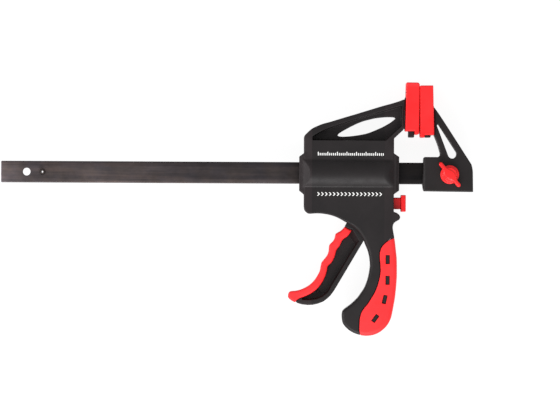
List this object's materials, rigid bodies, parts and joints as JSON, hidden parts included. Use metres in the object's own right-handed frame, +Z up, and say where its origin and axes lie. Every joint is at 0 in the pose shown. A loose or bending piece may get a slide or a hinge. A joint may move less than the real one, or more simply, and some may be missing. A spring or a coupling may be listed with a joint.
{
  "type": "quick release bar clamp",
  "caption": "Trigger-driven bar clamp: steel bar, sliding housing with pistol grip, trigger and release button, fixed jaw with turn-lock knob, soft jaw pads.",
  "frame": {"origin": "centre of the overall box at the level of the surface the clamp lies on", "axes": "+X along the bar towards the fixed jaw, +Y the way the jaws reach away from the bar, +Z up through the thickness, knob side up"},
  "size_m": [0.3714, 0.1992, 0.0354],
  "materials": {
    "black_nylon": "matte moulded, fine grain",
    "blackened_steel": "blackened rolled strip",
    "red_grip": "soft overmould, matte",
    "red_pad": "soft moulded, smooth",
    "red_plastic": "moulded, satin",
    "plate_steel": "stamped and hardened",
    "spring_steel": "drawn wire",
    "zinc_steel": "zinc plated"
  },
  "bodies": {
    "frame": {"bar": "blackened_steel", "stop_pin": "spring_steel", "fixed_jaw": "black_nylon", "pad_fixed": "red_pad", "lock_spring": "spring_steel"},
    "housing": {"front_shell": "black_nylon", "back_shell": "black_nylon", "shell_screws": "zinc_steel", "grip_front": "red_grip", "grip_back": "red_grip", "trigger_pin": "zinc_steel", "drive_spring": "spring_steel", "brake_spring": "spring_steel", "pad_moving": "red_pad"},
    "trigger": {"trigger": "black_nylon", "trigger_grip": "red_grip"},
    "drive": {"drive_plates": "plate_steel"},
    "brake": {"brake_plate": "plate_steel"},
    "button": {"release_button": "red_plastic"},
    "knob": {"lock_knob": "red_plastic"},
    "plunger": {"lock_pin": "zinc_steel"}
  },
  "joints": [
    {"name": "jaw_slide", "type": "slide", "parent": "frame", "child": "housing", "axis": [-1, 0, 0], "range_m": [0, 0.2]},
    {"name": "trigger_pull", "type": "hinge", "parent": "housing", "child": "trigger", "pos_m": [0.09835, 0.00079, 0.017], "axis": [0, 0, 1], "range_deg": [0, 12.5], "stiffness_Nm_per_rad": 0.6, "springref_deg": -5.73},
    {"name": "drive_slide", "type": "slide", "parent": "housing", "child": "drive", "axis": [-1, 0, 0], "range_m": [0, 0.0036], "deforming": ["drive_spring"]},
    {"name": "button_push", "type": "slide", "parent": "housing", "child": "button", "axis": [-1, 0, 0], "range_m": [0, 0.004], "stiffness_N_per_m": 800, "springref_m": -0.001, "deforming": ["brake_spring"]},
    {"name": "brake_rock", "type": "hinge", "parent": "housing", "child": "brake", "pos_m": [0.11235, 0.04249, 0.017], "axis": [0, 0, -1], "range_deg": [0, 6]},
    {"name": "knob_turn", "type": "hinge", "parent": "frame", "child": "knob", "pos_m": [0.16705, 0.02739, 0.0282], "axis": [0, 0, 1], "range_deg": [0, 90]},
    {"name": "pin_lift", "type": "slide", "parent": "frame", "child": "plunger", "axis": [0, 0, 1], "range_m": [0, 0.0045], "stiffness_N_per_m": 600, "springref_m": -0.002, "deforming": ["lock_spring"]}
  ],
  "couplings": [
    {"joint": "drive_slide", "follows": "trigger_pull", "m_per_rad": 0.01357},
    {"joint": "brake_rock", "follows": "button_push", "rad_per_m": 26.17},
    {"joint": "knob_turn", "follows": "pin_lift", "rad_per_m": 349}
  ]
}
